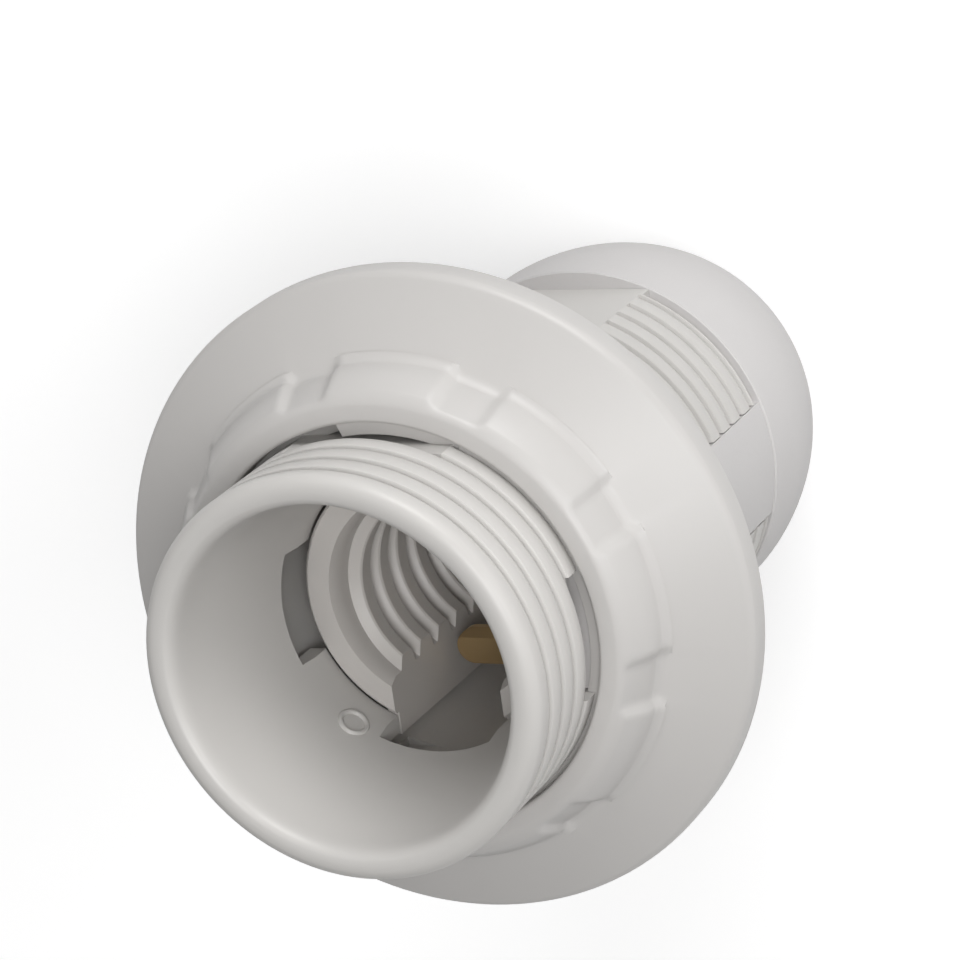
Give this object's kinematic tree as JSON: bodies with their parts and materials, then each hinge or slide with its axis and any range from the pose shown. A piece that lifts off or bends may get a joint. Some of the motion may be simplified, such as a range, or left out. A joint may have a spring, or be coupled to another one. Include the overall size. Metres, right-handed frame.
{
  "type": "lamp holder",
  "caption": "Small white plastic lamp holder with a threaded skirt, a shade ring that screws along it, a domed end cap and brass contacts inside.",
  "frame": {"origin": "centre of the wire-entry face, on the plane that the holder stands on", "axes": "+Z along the holder's axis from the wire entry to the lamp mouth; +X through the middle of one snap wing; +Y through the middle of the gap between the lamp-thread arms"},
  "size_m": [0.0456, 0.0456, 0.062],
  "materials": {
    "skirt_plastic": "glossy moulded white thermoplastic",
    "cap_plastic": "fine-grained matt white thermoplastic",
    "ring_plastic": "satin moulded white thermoplastic",
    "carrier_plastic": "satin moulded white thermoplastic",
    "contact_brass": "plain rolled brass",
    "zinc_steel": "zinc-plated steel"
  },
  "bodies": {
    "holder": {"threaded_skirt": "skirt_plastic", "end_cap": "cap_plastic", "contact_carrier": "carrier_plastic", "side_contact": "contact_brass", "centre_contact": "contact_brass", "centre_rivet": "contact_brass", "side_terminal_nut": "contact_brass", "centre_terminal_nut": "contact_brass", "side_clamp_plate": "zinc_steel", "centre_clamp_plate": "zinc_steel", "side_terminal_screw": "zinc_steel", "centre_terminal_screw": "zinc_steel"},
    "ring": {"shade_ring": "ring_plastic"}
  },
  "joints": [
    {"name": "ring_travel", "type": "slide", "parent": "holder", "child": "ring", "axis": [0, 0, 1], "range_m": [-0.026, 0.006]}
  ]
}
